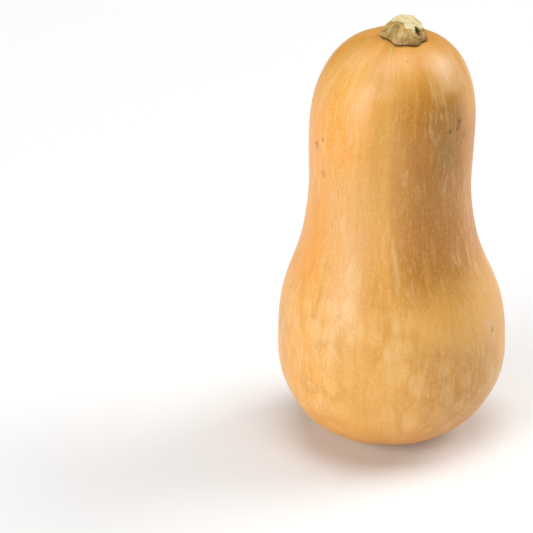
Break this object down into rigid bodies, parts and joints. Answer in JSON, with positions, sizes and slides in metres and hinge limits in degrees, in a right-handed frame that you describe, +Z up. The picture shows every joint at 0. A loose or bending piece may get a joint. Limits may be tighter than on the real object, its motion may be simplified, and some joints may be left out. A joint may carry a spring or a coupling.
{
  "type": "butternut squash",
  "caption": "Whole butternut squash standing on its blossom end: a tan pear-shaped fruit with a long neck and a short corky stem stub, cut across.",
  "frame": {"origin": "on the surface the squash stands on, under the middle of its outline", "axes": "+Z up along the fruit from blossom end to stem, -Y towards the viewer of the picture, +X to the viewer's right"},
  "size_m": [0.1204, 0.1187, 0.2326],
  "materials": {
    "rind": "satin",
    "cork": "matte"
  },
  "bodies": {
    "root": {"squash_fruit": "rind", "stem_stub": "cork"}
  },
  "joints": []
}
